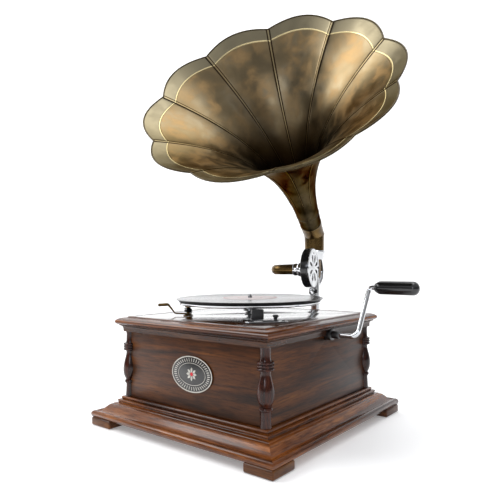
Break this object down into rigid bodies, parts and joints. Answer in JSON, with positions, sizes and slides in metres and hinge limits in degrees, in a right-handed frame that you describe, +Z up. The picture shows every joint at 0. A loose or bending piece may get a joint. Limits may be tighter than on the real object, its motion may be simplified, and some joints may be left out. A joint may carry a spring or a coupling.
{
  "type": "wind up phonograph",
  "caption": "Square wooden cabinet with a spring motor, turntable and record, hand crank, swinging tone arm with sound box, and a petalled brass horn on a rear bracket",
  "frame": {"origin": "on the ground, under the middle of the whole object's box", "axes": "+Z up, the badge side of the cabinet faces -Y, the crank comes out of the +X side, the horn stands over the back edge and opens towards -Y and up"},
  "size_m": [0.4699, 0.4318, 0.7007],
  "materials": {
    "walnut": "stained and varnished, satin to gloss",
    "dark_walnut": "dark red-brown stain, glossy varnish",
    "antique_brass": "bronzed and mottled, lacquered",
    "bright_brass": "turned or stamped, unlacquered",
    "chrome": "polished plating",
    "steel": "machined, oiled",
    "black_steel": "blued spring wire",
    "cast_iron": "sand cast, black paint",
    "black_enamel": "gloss black enamel",
    "black_plastic": "moulded, glossy",
    "hard_rubber": "moulded, dull",
    "shellac": "pressed, fine grooves, paper label in the middle",
    "felt": "wool felt",
    "mica": "thin clear mica sheet"
  },
  "bodies": {
    "cabinet": {"foot_front_left": "dark_walnut", "foot_front_right": "dark_walnut", "foot_rear_left": "dark_walnut", "foot_rear_right": "dark_walnut", "plinth": "walnut", "base_board": "walnut", "front_panel": "walnut", "rear_panel": "walnut", "left_panel": "walnut", "right_panel": "walnut", "baluster_front_left": "dark_walnut", "baluster_front_right": "dark_walnut", "baluster_rear_left": "dark_walnut", "baluster_rear_right": "dark_walnut", "frieze": "dark_walnut", "lid_frame": "walnut", "motor_board": "walnut", "badge_plate": "black_enamel", "crank_bush": "black_enamel", "motor_plate": "cast_iron", "motor_bridge": "steel", "motor_pillar_1": "steel", "motor_pillar_2": "steel", "motor_pillar_3": "steel", "governor_bracket": "bright_brass", "brake_plate": "chrome", "lever_post": "bright_brass", "lever_spring": "black_steel", "back_bracket": "chrome"},
    "turntable_unit": {"turntable": "chrome", "turntable_felt": "felt", "record": "shellac", "turntable_spindle": "steel"},
    "middle_gear": {"intermediate_gear": "bright_brass"},
    "barrel": {"spring_barrel": "bright_brass", "barrel_cover": "bright_brass", "mainspring": "steel"},
    "arbor": {"barrel_arbor": "steel"},
    "governor": {"governor_shaft": "steel", "governor_disc": "bright_brass", "governor_weight_1": "bright_brass", "governor_weight_2": "bright_brass", "governor_weight_3": "bright_brass"},
    "crank_unit": {"crank": "chrome", "winding_shaft": "steel"},
    "grip": {"crank_grip": "black_plastic"},
    "brake": {"brake_lever": "black_enamel", "brake_block": "hard_rubber"},
    "speed_control": {"speed_lever": "bright_brass"},
    "clamp_screw": {"bracket_screw": "black_plastic"},
    "horn_unit": {"horn_elbow": "antique_brass", "horn": "antique_brass"},
    "arm": {"tone_arm": "antique_brass"},
    "head": {"gooseneck": "antique_brass", "sound_box_case": "black_plastic", "sound_box_face": "chrome", "diaphragm": "mica"},
    "stylus": {"needle_bar": "chrome", "needle": "steel"},
    "stylus_screw": {"needle_screw": "black_plastic"}
  },
  "joints": [
    {"name": "turntable_spin", "type": "hinge", "parent": "cabinet", "child": "turntable_unit", "pos_m": [-0.049, -0.0244, 0.2], "axis": [0, 0, 1], "continuous": true},
    {"name": "intermediate_turn", "type": "hinge", "parent": "cabinet", "child": "middle_gear", "pos_m": [-0.023, -0.0393, 0.1], "axis": [0, 0, 1], "continuous": true},
    {"name": "barrel_turn", "type": "hinge", "parent": "cabinet", "child": "barrel", "pos_m": [0.003, -0.0144, 0.115], "axis": [0, 0, 1], "continuous": true},
    {"name": "governor_turn", "type": "hinge", "parent": "cabinet", "child": "governor", "pos_m": [-0.0685, -0.0244, 0.128], "axis": [0, 1, 0], "continuous": true},
    {"name": "crank_turn", "type": "hinge", "parent": "cabinet", "child": "crank_unit", "pos_m": [0.096, -0.0144, 0.152], "axis": [1, 0, 0], "continuous": true},
    {"name": "arbor_turn", "type": "hinge", "parent": "cabinet", "child": "arbor", "pos_m": [0.003, -0.0144, 0.14], "axis": [0, 0, 1], "continuous": true},
    {"name": "grip_spin", "type": "hinge", "parent": "crank_unit", "child": "grip", "pos_m": [0.1655, 0.0146, 0.2245], "axis": [1, 0, 0], "continuous": true},
    {"name": "brake_swing", "type": "hinge", "parent": "cabinet", "child": "brake", "pos_m": [0.0527, -0.1113, 0.178], "axis": [0, 0, 1], "range_deg": [-8, 8]},
    {"name": "speed_lever_swing", "type": "hinge", "parent": "cabinet", "child": "speed_control", "pos_m": [-0.115, -0.1064, 0.179], "axis": [0, 0, 1], "range_deg": [-15, 30]},
    {"name": "tone_arm_swing", "type": "hinge", "parent": "cabinet", "child": "arm", "pos_m": [-0.049, 0.1842, 0.252], "axis": [0, 0, 1], "range_deg": [-19, 12]},
    {"name": "sound_box_lift", "type": "hinge", "parent": "arm", "child": "head", "pos_m": [-0.0005, -0.0019, 0.252], "axis": [0.2522, -0.9677, 0], "range_deg": [0, 100]},
    {"name": "needle_bar_rock", "type": "hinge", "parent": "head", "child": "stylus", "pos_m": [0.06896, -0.01555, 0.225], "axis": [-0.2723, 0.9622, 0], "range_deg": [-0.8, 0.8], "stiffness_Nm_per_rad": 0.5},
    {"name": "needle_screw_turn", "type": "hinge", "parent": "stylus", "child": "stylus_screw", "pos_m": [0.07271, -0.01449, 0.218], "axis": [0.9622, 0.2723, 0], "range_deg": [-180, 180]},
    {"name": "horn_swivel", "type": "hinge", "parent": "cabinet", "child": "horn_unit", "pos_m": [-0.049, 0.1842, 0.3], "axis": [0, 0, 1], "range_deg": [-90, 90]},
    {"name": "clamp_screw_turn", "type": "hinge", "parent": "cabinet", "child": "clamp_screw", "pos_m": [-0.049, 0.1746, 0.189], "axis": [0, -1, 0], "range_deg": [-180, 180]}
  ],
  "couplings": [
    {"joint": "intermediate_turn", "follows": "turntable_spin", "ratio": -0.25},
    {"joint": "barrel_turn", "follows": "turntable_spin", "ratio": 0.05},
    {"joint": "governor_turn", "follows": "turntable_spin", "ratio": 28},
    {"joint": "arbor_turn", "follows": "crank_turn", "ratio": -0.36}
  ]
}
